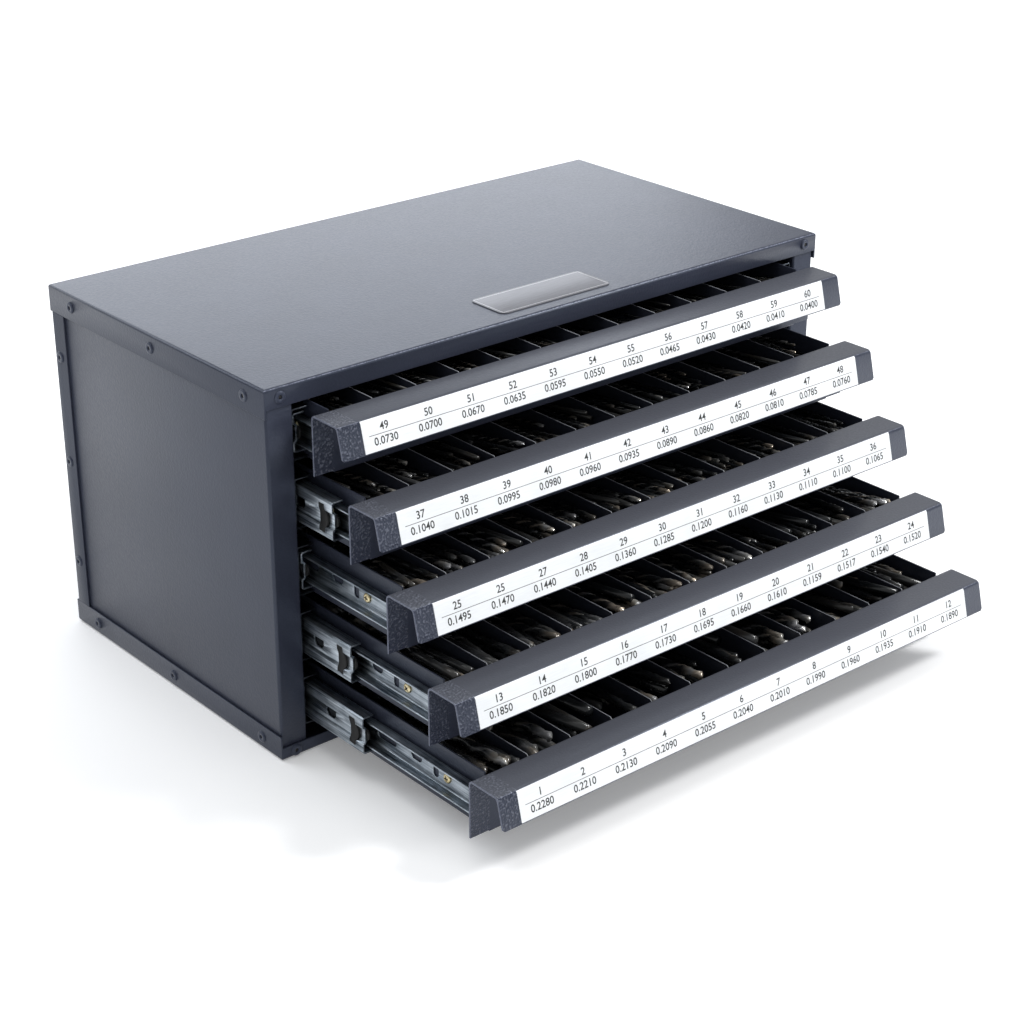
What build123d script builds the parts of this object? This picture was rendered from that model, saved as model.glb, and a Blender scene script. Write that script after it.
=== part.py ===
from build123d import *
import math
import os

# Drill bit drawer case: a riveted sheet steel case with five drawers on three-member
# telescopic slides.  Millimetres.  X runs across the front, +Y to the back, +Z up, and
# the origin is the centre of the case's bottom face.  The drawers stand pulled out in
# steps, the lowest one furthest.

# ---------------------------------------------------------------- case, driving sizes
case_width = 380.0
case_depth = 203.0
case_height = 202.0
sheet = 1.0                     # thickness of the case sheets and the drawer fronts
bend = 1.6                      # outer radius of the folds in the case sheets
lid_side_flange = 15.0
lid_front_flange = 10.5
base_side_flange = 13.5
base_front_flange = 7.0
back_side_flange = 13.5
post_width = 16.8               # front post, from the case's side to the opening
post_return = 22.0              # depth of the post's inner leg, which carries the slides
bracket_foot = 14.0             # rear slide bracket, leg on the side panel
bracket_leg = 18.0              # rear slide bracket, leg that carries the slides
bracket_back_gap = 20.0         # from the bracket's back edge to the back panel
bracket_end_gap = 8.5           # from the bracket's ends to the lid and the base

# ---------------------------------------------------------------- rivets
fastener_sides = 8              # the small heads repeat, so each has few faces
rivet_head_radius = 3.2
rivet_crown_radius = 2.2
rivet_head_height = 1.0
rivet_front_inset = 17.5        # first rivet of a side row, from the case's front
rivet_back_inset = 22.5         # last rivet of a side row from the back, of a back row from the side
rivet_post_inset = 9.0          # rivets in the front flanges, from the case's side
rivet_back_row_inset = 6.8      # rivets of the back panel's side flange
rivet_back_row_pitch = 61.2

# ---------------------------------------------------------------- drawers, driving sizes
drawer_gap = 4.1                # between a drawer's underside and the top of the next
lowest_drawer_rise = 10.3       # its underside, above the case's
top_drawer_gap = 2.3            # under the lid's front flange
front_width = 344.6
handle_reach = 19.8             # flat top of the handle, ahead of the plate
lip_drop = 16.6
lip_lean = 4.25                 # the lip's foot stands this much further ahead
handle_bend = 2.6               # outer radius of the handle's folds
lip_corner = 1.2                # the lip's lower corners are cut
front_foot = 10.0               # return under the tray
foot_drop = 0.8                 # the return's underside below the plate's ends
tray_sheet = 0.8
tray_bend = 1.5
tray_back_gap = 10.0            # behind the tray, to the back panel
tray_tab = 8.0                  # tabs of the tray's sides, on the back of the plate
tray_tab_drop = 3.0
tray_drop = 0.2                 # tray's edge below the plate's top
compartments = 12
divider_sheet = 0.6
divider_flange = 5.5
divider_drop = 1.5              # divider's top edge below the tray's
divider_corner = 2.5
divider_clearance = 0.2
label_thickness = 0.25
label_left_margin = 11.3
label_right_margin = 13.4
label_edge = 0.6                # bare strip of the lip above and below the label

# ---------------------------------------------------------------- slides, driving sizes
slide_space = 11.0              # between the post's inner face and the tray
slide_back_gap = 22.0           # from the slide's back end to the case's back
slide_setback = 3.0             # outer member's front end, behind the case's front
member_setback = 1.5            # middle member's front end, behind the outer member's
middle_shorter = 6.0            # than the outer member
inner_shorter = 4.0
slide_drop = 15.5               # slide's centre line below the drawer's top
outer_height = 27.0
middle_height = 20.6
inner_height = 14.2
outer_sheet = 1.0
middle_sheet = 0.9
inner_sheet = 0.8
outer_reach = 9.6               # from the mounting face to the lips' edge
middle_gap = 0.9                # between the outer and middle members' webs
middle_reach = 8.8
middle_step = 1.5               # the middle of the web stands in by this much
middle_band = 5.6               # flat bands above and below the step
step_slope = 0.9                # height over which the web steps in
inner_gap = 0.85                # from the middle member's web to the inner member's lips
slide_fold = 1.0                # the members' folds are cut by facets with legs of this length
slide_travel = 88.0             # of each moving member on the one before it
cage_sheet = 0.3
cage_clearance = 0.25
cage_margin = 3.0               # the cage ends this far inside the members' shortest overlap
cage_lead = 5.0                 # its front end behind the outer member's, slide fully out
cage_reach = 8.0

# holes and stops of the slide members, from each member's own front end
screw_head_radius = 2.6
screw_head_height = 1.3
screw_head_top = 2.1            # radius of the head's flat
screw_neck_radius = 1.5         # small end of a countersunk head
screw_clearance = 0.1           # of a countersunk head in its hole
outer_screw_front = 11.0
runner_screw_front = 26.4
runner_screw_rear = 150.0
oval_front = 35.6
oval_length = 7.0
oval_width = 4.0
latch_front = 50.8              # window of the front latch
latch_length = 8.4
latch_height = 4.2
latch_rise = 0.6
latch_corner = 1.6              # of its front corners
slot_front = 74.3
slot_length = 14.8
slot_width = 3.4
cut_corner = 1.1                # of the oval and the slot
window_front = 28.2             # small window in the middle member
window_length = 8.0
window_height = 5.4
window_corner = 1.8             # of its front corners
window_rise = 1.0
brace_front = 3.8               # brace-shaped cut-out, behind the member's front edge
brace_arm = 6.4
brace_waist = 10.2
brace_back = 11.2
brace_height = 15.2
brace_waist_half = 2.6
brace_knee = 5.0                # height of the brace's knees above its middle
brace_round = 0.4               # how far its point and shoulders are cut back
bumper_clearance = 0.15
bumper_nose = 1.5               # nose of the bumper, ahead of the member
bumper_nose_height = 6.6
bumper_depth = 1.0
bumper_overlap = 0.7            # of the nose over the cut-out
bumper_neck_gap = 0.3           # from the cut-out's point to the neck
bumper_neck_height = 3.9

# ---------------------------------------------------------------- nameplate
nameplate_width = 76.0
nameplate_depth = 27.5
nameplate_thickness = 0.5
nameplate_corner = 4.0
nameplate_front_inset = 8.7
nameplate_offset = 2.0          # it sits a little right of the middle

# ---------------------------------------------------------------- pose in which it stands
drawer_opening = [13.5, 41.2, 69.2, 99.8, 129.6]
slide_opening = [0.0, 29.7, 2.0, 40.6, 48.9]

# ---------------------------------------------------------------- derived places
half_width = case_width / 2
front_y = -case_depth / 2
back_y = case_depth / 2
opening_half = half_width - post_width
opening_top = case_height - lid_front_flange
drawer_count = len(drawer_opening)
drawer_room = opening_top - top_drawer_gap - lowest_drawer_rise
drawer_pitch = (drawer_room + drawer_gap) / drawer_count
front_height = drawer_pitch - drawer_gap - foot_drop
tray_depth = case_depth - 3 * sheet - tray_back_gap
slide_length = case_depth - slide_setback - slide_back_gap
middle_length = slide_length - middle_shorter
inner_length = slide_length - inner_shorter
tray_half = opening_half - slide_space
plate_half = front_width / 2
compartment_pitch = (2 * (tray_half - tray_sheet) + divider_sheet) / compartments
panel_face = half_width - sheet             # outer face of the side panels
bracket_back = back_y - 2 * sheet - bracket_back_gap
outer_screw_rear = bracket_back - front_y - slide_setback - bracket_foot - bracket_leg / 2
middle_front = slide_setback + member_setback
middle_web = outer_sheet + middle_gap       # its outer face, from the mounting face
cage_length = middle_length - slide_travel - 2 * cage_margin
outer_cage_start = slide_setback + slide_travel / 2 + cage_lead
inner_cage_start = middle_front + slide_travel / 2 + cage_lead
runner_front = sheet + member_setback / 2   # inner member's front end, behind the plate's face


def drawer_top(level):
    return opening_top - top_drawer_gap - level * drawer_pitch


def slide_centre(level):
    return drawer_top(level) - slide_drop


def save(piece, name):
    piece.part.label = name
    export_step(piece.part, f"parts/{name}.step")


def save_moved(piece, name, y, z):
    with BuildPart() as placed:
        with Locations((0, y, z)):
            add(piece.part)
    save(placed, name)


def folded_sheet(plane, points, thickness, radii):
    """Section of a sheet folded along points, which run round its outer face with the
    sheet on their left."""
    with BuildSketch(plane) as section:
        with BuildLine():
            FilletPolyline(*points, radius=radii)
            offset(amount=thickness, side=Side.LEFT)
        make_face()
    return section.sketch


os.makedirs("parts", exist_ok=True)

# ---------------------------------------------------------------- rivet places
rivet_rows = [rivet_front_inset, case_depth / 2, case_depth - rivet_back_inset]
lid_rivet_z = case_height - lid_side_flange / 2
base_rivet_z = base_side_flange / 2
lid_front_rivet_z = case_height - lid_front_flange / 2
base_front_rivet_z = base_front_flange / 2
back_row_y = back_y - rivet_back_row_inset
front_rivet_x = half_width - rivet_post_inset
back_rivet_x = [-half_width + rivet_back_inset, 0, half_width - rivet_back_inset]
lid_rivets = []
base_rivets = []
back_rivets = []
for side in (-1, 1):
    outward = (side, 0, 0)
    for inset in rivet_rows:
        lid_rivets.append(Plane((side * half_width, front_y + inset, lid_rivet_z), z_dir=outward))
        base_rivets.append(Plane((side * half_width, front_y + inset, base_rivet_z), z_dir=outward))
    lid_rivets.append(Plane((side * front_rivet_x, front_y, lid_front_rivet_z), z_dir=(0, -1, 0)))
    base_rivets.append(Plane((side * front_rivet_x, front_y, base_front_rivet_z), z_dir=(0, -1, 0)))
    for row in (-1, 0, 1):
        z = case_height / 2 + row * rivet_back_row_pitch
        back_rivets.append(Plane((side * half_width, back_row_y, z), z_dir=outward))
for x in back_rivet_x:
    lid_rivets.append(Plane((x, back_y, lid_rivet_z), z_dir=(0, 1, 0)))
    base_rivets.append(Plane((x, back_y, base_rivet_z), z_dir=(0, 1, 0)))


def head(foot_radius, top_radius, height):
    """Head of a small fastener, standing on the XY plane."""
    slope = math.degrees(math.atan2(foot_radius - top_radius, height))
    with BuildPart() as made:
        with BuildSketch():
            RegularPolygon(foot_radius, fastener_sides)
        extrude(amount=height, taper=slope)
    return made.part


def pan(bottom_z, height, front_flange, closed_up):
    """Shallow folded pan: a flat sheet with four flanges, the front one shorter."""
    way = 1 if closed_up else -1
    open_z = bottom_z if closed_up else bottom_z + height
    closed_group = -1 if closed_up else 0
    with BuildPart() as hollow:
        with BuildSketch(Plane.XY.offset(open_z)):
            Rectangle(case_width - 2 * sheet, case_depth - 2 * sheet)
        extrude(amount=way * (height - sheet))
        fillet(hollow.edges().group_by(Axis.Z)[closed_group], bend - sheet)
    with BuildPart() as folded:
        with BuildSketch(Plane.XY.offset(open_z)):
            Rectangle(case_width, case_depth)
        extrude(amount=way * height)
        fillet(folded.edges().group_by(Axis.Z)[closed_group], bend)
        add(hollow.part, mode=Mode.SUBTRACT)
        with BuildSketch(Plane.XY.offset(open_z)):
            with Locations((0, front_y)):
                Rectangle(case_width - 2 * sheet, 2 * sheet)
        extrude(amount=way * (height - front_flange), mode=Mode.SUBTRACT)
    return folded.part


# ---------------------------------------------------------------- case sheets
outer_start = front_y + slide_setback
with BuildPart() as top_cover:
    add(pan(case_height - lid_side_flange, lid_side_flange, lid_front_flange, True))

with BuildPart() as base_pan:
    add(pan(0, base_side_flange, base_front_flange, False))

panel_height = case_height - 2 * bend       # clear of the folds above and below
panel_front = front_y + sheet
panel_back = back_y - sheet - bend
left_panel_line = [
    (-panel_face, panel_back),
    (-panel_face, panel_front),
    (-opening_half, panel_front),
    (-opening_half, front_y + post_return),
]
with BuildPart() as left_side_panel:
    extrude(folded_sheet(Plane.XY.offset(bend), left_panel_line, sheet, bend), panel_height)

with BuildPart() as right_side_panel:
    mirror(left_side_panel.part, about=Plane.YZ)

back_face = back_y - sheet
back_line = [
    (half_width, back_y - back_side_flange),
    (half_width, back_face),
    (-half_width, back_face),
    (-half_width, back_y - back_side_flange),
]
back_flange_height = case_height - lid_side_flange - base_side_flange
with BuildPart() as back_panel:
    back_plane = Plane.XY.offset(base_side_flange)
    extrude(folded_sheet(back_plane, back_line, sheet, bend), back_flange_height)
    with BuildSketch(Plane.XY.offset(bend)):
        with Locations((0, back_face - sheet / 2)):
            Rectangle(2 * panel_face, sheet)
    extrude(amount=panel_height)

bracket_leg_x = -opening_half - sheet
bracket_web_y = bracket_back - bracket_foot
bracket_line = [
    (-panel_face + sheet, bracket_back),
    (-panel_face + sheet, bracket_web_y),
    (bracket_leg_x, bracket_web_y),
    (bracket_leg_x, bracket_web_y - bracket_leg),
]
with BuildPart() as rear_slide_brackets:
    bracket_plane = Plane.XY.offset(bend + bracket_end_gap)
    bracket_section = folded_sheet(bracket_plane, bracket_line, sheet, [bend, bend - sheet])
    extrude(bracket_section, panel_height - 2 * bracket_end_gap)
    mirror(about=Plane.YZ)

# ---------------------------------------------------------------- rivets, nameplate
with BuildPart() as case_rivets:
    with Locations(*[plane.location for plane in lid_rivets + base_rivets + back_rivets]):
        add(head(rivet_head_radius, rivet_crown_radius, rivet_head_height))

nameplate_y = front_y + nameplate_front_inset + nameplate_depth / 2
with BuildPart() as nameplate:
    with BuildSketch(Plane.XY.offset(case_height)):
        with Locations((nameplate_offset, nameplate_y)):
            RectangleRounded(nameplate_width, nameplate_depth, nameplate_corner)
    extrude(amount=nameplate_thickness)


# ---------------------------------------------------------------- slide members
# Each pair is drawn for the left side, in its closed place, with z = 0 on the slide's
# centre line, and mirrored to the right.
def across(plane_y):
    """Plane across the slides, local x to the right and local y up, facing the front."""
    return Plane.XZ.offset(-plane_y)


def from_side(depth):
    """Plane along the slides at a depth from the left mounting face, local x to the back."""
    return Plane.YZ.offset(-opening_half + depth)


def faceted(points, legs):
    """The line with its corners cut by straight facets: what repeats has few faces."""
    line = [points[0]]
    for before, corner, after, leg in zip(points, points[1:], points[2:], legs):
        for end in (before, after):
            line.append(Vector(corner) + (Vector(end) - Vector(corner)).normalized() * leg)
    return line + [points[-1]]


def channel(web, reach, height):
    """Outline of a channel that opens towards the drawer."""
    near = -opening_half + web
    far = -opening_half + reach
    top = height / 2
    return [(far, top), (near, top), (near, -top), (far, -top)]


outer_screws = [outer_start + outer_screw_front, outer_start + outer_screw_rear]
with BuildPart() as outer_members:
    outer_line = faceted(channel(0, outer_reach, outer_height), [slide_fold, slide_fold])
    extrude(folded_sheet(across(outer_start), outer_line, outer_sheet, 0), -slide_length)
    with Locations(from_side(0)):
        with Locations(*[(y, 0) for y in outer_screws]):
            hole_neck = screw_neck_radius + screw_clearance
            hole_mouth = screw_head_radius + screw_clearance
            add(head(hole_neck, hole_mouth, outer_sheet), mode=Mode.SUBTRACT)
    mirror(about=Plane.YZ)

with BuildPart() as slide_outer_members:
    with Locations(*[(0, 0, slide_centre(level)) for level in range(drawer_count)]):
        add(outer_members.part)

with BuildPart() as slide_case_screws:          # flush with the outer members' webs
    with Locations(from_side(0)):
        with Locations(
            *[(y, slide_centre(level)) for y in outer_screws for level in range(drawer_count)]
        ):
            add(head(screw_neck_radius, screw_head_radius, outer_sheet))
    mirror(about=Plane.YZ)

middle_start = front_y + middle_front
middle_step_web = middle_web + middle_step
band_edge = middle_height / 2 - middle_band
step_edge = band_edge - step_slope
mounting_x = -opening_half
upper_half = [
    (mounting_x + middle_reach, middle_height / 2),
    (mounting_x + middle_web, middle_height / 2),
    (mounting_x + middle_web, band_edge),
]
lower_half = [(x, -z) for x, z in reversed(upper_half)]
step_line = [
    (mounting_x + middle_step_web, step_edge),
    (mounting_x + middle_step_web, -step_edge),
]
middle_line = faceted(upper_half, [slide_fold]) + step_line + faceted(lower_half, [slide_fold])


def brace(inset):
    """Brace-shaped outline, its point towards the member's front end."""
    top = brace_height / 2 - inset
    with BuildSketch(from_side(0)) as outline:
        with BuildLine():
            Polyline(
                (middle_start + brace_front + inset + brace_round, -brace_waist_half),
                (middle_start + brace_arm + inset - brace_round, -brace_knee),
                (middle_start + brace_arm + inset, -top),
                (middle_start + brace_back - inset, -top),
                (middle_start + brace_back - inset, -brace_knee),
                (middle_start + brace_waist - inset, -brace_waist_half),
                (middle_start + brace_waist - inset, brace_waist_half),
                (middle_start + brace_back - inset, brace_knee),
                (middle_start + brace_back - inset, top),
                (middle_start + brace_arm + inset, top),
                (middle_start + brace_arm + inset - brace_round, brace_knee),
                (middle_start + brace_front + inset + brace_round, brace_waist_half),
                (middle_start + brace_front + inset, brace_waist_half / 2),
                (middle_start + brace_front + inset, -brace_waist_half / 2),
                close=True,
            )
        make_face()
    return outline.sketch


with BuildPart() as middle_members:
    section = folded_sheet(across(middle_start), middle_line, middle_sheet, 0)
    extrude(section, -middle_length)
    extrude(brace(0), slide_space, mode=Mode.SUBTRACT)
    with BuildSketch(from_side(0)):
        with Locations((middle_start + window_front, window_rise)):
            window = Rectangle(window_length, window_height)
        chamfer(window.vertices().group_by(Axis.Y)[0], window_corner)
    extrude(amount=slide_space, mode=Mode.SUBTRACT)
    mirror(about=Plane.YZ)

nose_top = bumper_nose_height / 2
nose_web = middle_step_web + middle_sheet + bumper_clearance
with BuildPart() as bumpers:
    body_depth = middle_step_web + middle_sheet - middle_web - bumper_clearance
    body_place = Location((middle_web + 2 * bumper_clearance, 0, 0))
    extrude(brace(bumper_clearance).moved(body_place), body_depth)
    with BuildSketch(from_side(nose_web)):
        with BuildLine():
            Polyline(
                (middle_start, nose_top),
                (middle_start + brace_front + bumper_overlap, nose_top),
                (middle_start + brace_front + bumper_overlap, -nose_top),
                (middle_start, -nose_top),
                (middle_start - bumper_nose, -nose_top / 2),
                (middle_start - bumper_nose, nose_top / 2),
                close=True,
            )
        make_face()
    extrude(amount=bumper_depth)
    with BuildSketch(from_side(middle_step_web + middle_sheet / 2)):
        with Locations((middle_start + brace_front + bumper_neck_gap, 0)):
            Rectangle(
                bumper_overlap - bumper_neck_gap,
                bumper_neck_height,
                align=(Align.MIN, Align.CENTER),
            )
    extrude(amount=middle_sheet)
    mirror(about=Plane.YZ)

runner_start = front_y + runner_front
runner_edge = middle_step_web + middle_sheet + inner_gap
runner_line = [
    (-opening_half + runner_edge, -inner_height / 2),
    (-tray_half, -inner_height / 2),
    (-tray_half, inner_height / 2),
    (-opening_half + runner_edge, inner_height / 2),
]
runner_faceted = faceted(runner_line, [slide_fold, slide_fold])
runner_screws = [runner_start + runner_screw_front, runner_start + runner_screw_rear]
with BuildPart() as inner_members:
    extrude(folded_sheet(across(runner_start), runner_faceted, inner_sheet, 0), -inner_length)
    with BuildSketch(from_side(slide_space - 2 * inner_sheet)) as cuts:
        with Locations((runner_start + oval_front, 0)):
            Rectangle(oval_width, oval_length)
        with Locations((runner_start + slot_front, 0)):
            Rectangle(slot_length, slot_width)
        chamfer(cuts.vertices(), cut_corner)
        with Locations((runner_start + latch_front, latch_rise)):
            latch = Rectangle(latch_length, latch_height)
        chamfer(latch.vertices().group_by(Axis.Y)[0], latch_corner)
    extrude(amount=3 * inner_sheet, mode=Mode.SUBTRACT)
    mirror(about=Plane.YZ)


def cage_section(web, inside, outside):
    """Ball cage: a thin web with the two rows of balls, drawn as one bar each."""
    near = -opening_half + web
    far = -opening_half + cage_reach
    with BuildSketch(Plane.XZ) as section:
        with BuildLine():
            Polyline(
                (near, -outside),
                (far, -outside),
                (far, -inside),
                (near + cage_sheet, -inside),
                (near + cage_sheet, inside),
                (far, inside),
                (far, outside),
                (near, outside),
                close=True,
            )
        make_face()
    return section.sketch


outer_cage_web = outer_sheet + (middle_gap - cage_sheet) / 2
with BuildPart() as outer_cages:
    outer_bore = outer_height / 2 - outer_sheet - cage_clearance
    outer_cage_inside = middle_height / 2 + cage_clearance
    section = cage_section(outer_cage_web, outer_cage_inside, outer_bore)
    extrude(section.moved(Location((0, front_y + outer_cage_start, 0))), -cage_length)
    mirror(about=Plane.YZ)

inner_cage_web = middle_step_web + middle_sheet + (inner_gap - cage_sheet) / 2
with BuildPart() as inner_cages:
    middle_bore = middle_height / 2 - middle_sheet - cage_clearance
    inner_cage_inside = inner_height / 2 + cage_clearance
    section = cage_section(inner_cage_web, inner_cage_inside, middle_bore)
    extrude(section.moved(Location((0, front_y + inner_cage_start, 0))), -cage_length)
    mirror(about=Plane.YZ)

with BuildPart() as runner_screw_set:
    runner_face_x = -tray_half - inner_sheet
    with Locations(*[Plane((runner_face_x, y, 0), z_dir=(-1, 0, 0)) for y in runner_screws]):
        add(head(screw_head_radius, screw_head_top, screw_head_height))
    mirror(about=Plane.YZ)

# ---------------------------------------------------------------- drawer pieces
# Drawn shut, with z = 0 at the drawer's top.
plate_back = front_y + sheet
handle_line = [
    (plate_back, -front_height),
    (plate_back, 0),
    (front_y - handle_reach, 0),
    (front_y - handle_reach - lip_lean, -lip_drop),
]
with BuildPart() as drawer_front:
    extrude(folded_sheet(Plane.YZ, handle_line, sheet, handle_bend), plate_half, both=True)
    lip_ends = drawer_front.edges().filter_by(Plane.YZ).group_by(Axis.Y)[0].sort_by(Axis.X)
    chamfer(lip_ends.filter_by(GeomType.LINE), lip_corner)
    with BuildSketch(Plane.YZ):
        with Locations((front_y, -front_height - foot_drop)):
            foot = Rectangle(front_foot, sheet, align=(Align.MIN, Align.MIN))
        fillet(foot.vertices().group_by(Axis.Z)[0].sort_by(Axis.Y)[0], sheet - foot_drop / 2)
    extrude(amount=tray_half - bend, both=True)

tray_bottom = -front_height - foot_drop + sheet
tray_width = 2 * tray_half
tray_centre_y = plate_back + tray_depth / 2
with BuildPart() as tray_space:
    with BuildSketch(Plane.XY.offset(tray_bottom + tray_sheet)):
        with Locations((0, tray_centre_y)):
            Rectangle(tray_width - 2 * tray_sheet, tray_depth - 2 * tray_sheet)
    extrude(amount=-tray_bottom)

with BuildPart() as drawer_tray:
    with BuildSketch(Plane.XY.offset(tray_bottom)):
        with Locations((0, tray_centre_y)):
            Rectangle(tray_width, tray_depth)
    extrude(amount=-tray_bottom - tray_drop)
    folds = drawer_tray.edges().group_by(Axis.Z)[0].sort_by(Axis.Y)[1:]
    fillet(folds, tray_bend)
    add(tray_space.part, mode=Mode.SUBTRACT)
    with BuildSketch(Plane.XZ.offset(-plate_back)):
        with Locations((0, tray_bottom + tray_sheet)):
            Rectangle(
                tray_width - 2 * tray_tab,
                -tray_bottom,
                align=(Align.CENTER, Align.MIN),
            )
        for side in (-1, 1):
            with Locations((side * tray_half, -tray_drop)):
                Rectangle(2 * tray_tab, 2 * tray_tab_drop)
    extrude(amount=-tray_sheet, mode=Mode.SUBTRACT)

label_top = handle_bend
lip_length = (lip_drop**2 + lip_lean**2) ** 0.5
label_height = lip_length - label_top - label_edge
label_width = front_width - label_left_margin - label_right_margin
label_middle = (label_top + label_height / 2) / lip_length
label_x = (label_left_margin - label_right_margin) / 2
label_y = front_y - handle_reach - lip_lean * label_middle
label_z = -lip_drop * label_middle
with BuildPart() as drawer_label:
    label_plane = Plane((label_x, label_y, label_z), x_dir=(1, 0, 0), z_dir=(0, -lip_drop, lip_lean))
    with BuildSketch(label_plane):
        Rectangle(label_width, label_height)
    extrude(amount=label_thickness)

divider_bottom = tray_bottom + tray_sheet + divider_clearance
divider_back = plate_back + tray_depth - tray_sheet
with BuildPart() as drawer_dividers:
    for number in range(1, compartments):
        x = -tray_half + tray_sheet - divider_sheet + number * compartment_pitch
        divider_line = [
            (x + divider_flange, divider_back),
            (x, divider_back),
            (x, plate_back),
            (x + divider_flange, plate_back),
        ]
        section = folded_sheet(Plane.XY.offset(divider_bottom), divider_line, divider_sheet, 0)
        extrude(section, -divider_drop - divider_bottom)
    with BuildSketch(Plane.YZ):
        with BuildLine():
            Polyline(
                (plate_back, -divider_drop - divider_corner),
                (plate_back, -divider_drop),
                (plate_back + divider_corner, -divider_drop),
                close=True,
            )
        make_face()
    extrude(amount=tray_half, both=True, mode=Mode.SUBTRACT)

# ---------------------------------------------------------------- pieces of the case
save(top_cover, "top_cover")
save(base_pan, "base_pan")
save(left_side_panel, "left_side_panel")
save(right_side_panel, "right_side_panel")
save(back_panel, "back_panel")
save(rear_slide_brackets, "rear_slide_brackets")
save(case_rivets, "case_rivets")
save(nameplate, "nameplate")
save(slide_outer_members, "slide_outer_members")
save(slide_case_screws, "slide_case_screws")

# ---------------------------------------------------------------- pieces of each drawer
for level in range(drawer_count):
    number = level + 1
    drawer_y = -drawer_opening[level]
    slide_y = -slide_opening[level]
    top_z = drawer_top(level)
    slide_z = slide_centre(level)
    save_moved(drawer_front, f"drawer_{number}_front", drawer_y, top_z)
    save_moved(drawer_tray, f"drawer_{number}_tray", drawer_y, top_z)
    save_moved(drawer_dividers, f"drawer_{number}_dividers", drawer_y, top_z)
    save_moved(drawer_label, f"drawer_{number}_label", drawer_y, top_z)
    save_moved(inner_members, f"drawer_{number}_slide_members", drawer_y, slide_z)
    save_moved(runner_screw_set, f"drawer_{number}_slide_screws", drawer_y, slide_z)
    save_moved(middle_members, f"slide_{number}_middle_members", slide_y, slide_z)
    save_moved(bumpers, f"slide_{number}_bumpers", slide_y, slide_z)
    save_moved(outer_cages, f"slide_{number}_outer_cages", slide_y / 2, slide_z)
    save_moved(inner_cages, f"slide_{number}_inner_cages", (slide_y + drawer_y) / 2, slide_z)
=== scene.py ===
import math
import random

import bmesh
import bpy
from mathutils import Matrix, Vector


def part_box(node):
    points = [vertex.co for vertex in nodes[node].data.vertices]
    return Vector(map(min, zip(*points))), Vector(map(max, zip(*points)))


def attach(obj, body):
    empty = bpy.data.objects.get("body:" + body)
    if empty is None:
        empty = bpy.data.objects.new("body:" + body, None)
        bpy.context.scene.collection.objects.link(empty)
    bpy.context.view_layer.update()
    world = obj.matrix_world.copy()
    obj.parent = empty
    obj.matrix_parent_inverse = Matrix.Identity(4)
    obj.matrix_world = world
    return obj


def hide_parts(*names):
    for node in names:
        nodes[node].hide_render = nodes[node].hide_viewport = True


# The drill bit drawer case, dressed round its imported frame.  Metres, in the frame's own
# axes: X across the drawer fronts, +Y to the back, +Z up.

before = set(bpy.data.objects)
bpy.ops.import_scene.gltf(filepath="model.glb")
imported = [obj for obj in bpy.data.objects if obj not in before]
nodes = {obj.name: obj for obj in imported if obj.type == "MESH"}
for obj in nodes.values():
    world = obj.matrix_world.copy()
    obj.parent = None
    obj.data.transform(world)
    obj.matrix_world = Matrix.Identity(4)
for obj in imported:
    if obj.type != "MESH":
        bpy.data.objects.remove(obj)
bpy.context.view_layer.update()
mm = 0.001
drawer_numbers = range(1, 6)


# ---------------------------------------------------------------- camera
camera_place = (-0.71565, -0.90407, 0.58011)
camera_right = Vector((0.763813, -0.645438, 0.000329))
camera_down = Vector((-0.270738, -0.320855, -0.907608))
sensor_width = 36.0             # millimetres, as is the focal length
focal_length = 76.69

camera_data = bpy.data.cameras.new("camera")
camera_data.sensor_width = sensor_width
camera_data.lens = focal_length
camera = bpy.data.objects.new("camera", camera_data)
bpy.context.scene.collection.objects.link(camera)
camera_back = camera_right.cross(-camera_down)
turn = Matrix((camera_right, -camera_down, camera_back)).transposed()
camera.matrix_world = Matrix.Translation(camera_place) @ turn.to_4x4()
bpy.context.scene.camera = camera
bpy.context.scene.view_settings.view_transform = "Standard"


# ---------------------------------------------------------------- finishes
class Val:
    """A node's output that Python arithmetic can work on: each operator adds a Math node."""

    def __init__(self, finish, socket):
        self.finish = finish
        self.socket = socket

    def _math(self, operation, *terms):
        settings = {"operation": operation}
        return self.finish.node("ShaderNodeMath", settings, dict(enumerate(terms)))

    def __add__(self, other):
        return self._math("ADD", self, other)

    def __radd__(self, other):
        return self._math("ADD", other, self)

    def __sub__(self, other):
        return self._math("SUBTRACT", self, other)

    def __rsub__(self, other):
        return self._math("SUBTRACT", other, self)

    def __mul__(self, other):
        return self._math("MULTIPLY", self, other)

    def __rmul__(self, other):
        return self._math("MULTIPLY", other, self)

    def __lt__(self, other):
        return self._math("LESS_THAN", self, other)

    def __gt__(self, other):
        return self._math("GREATER_THAN", self, other)

    def distance(self, place):
        """How far the value is from a place, either way."""
        return self._math("ABSOLUTE", self - place)


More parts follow.
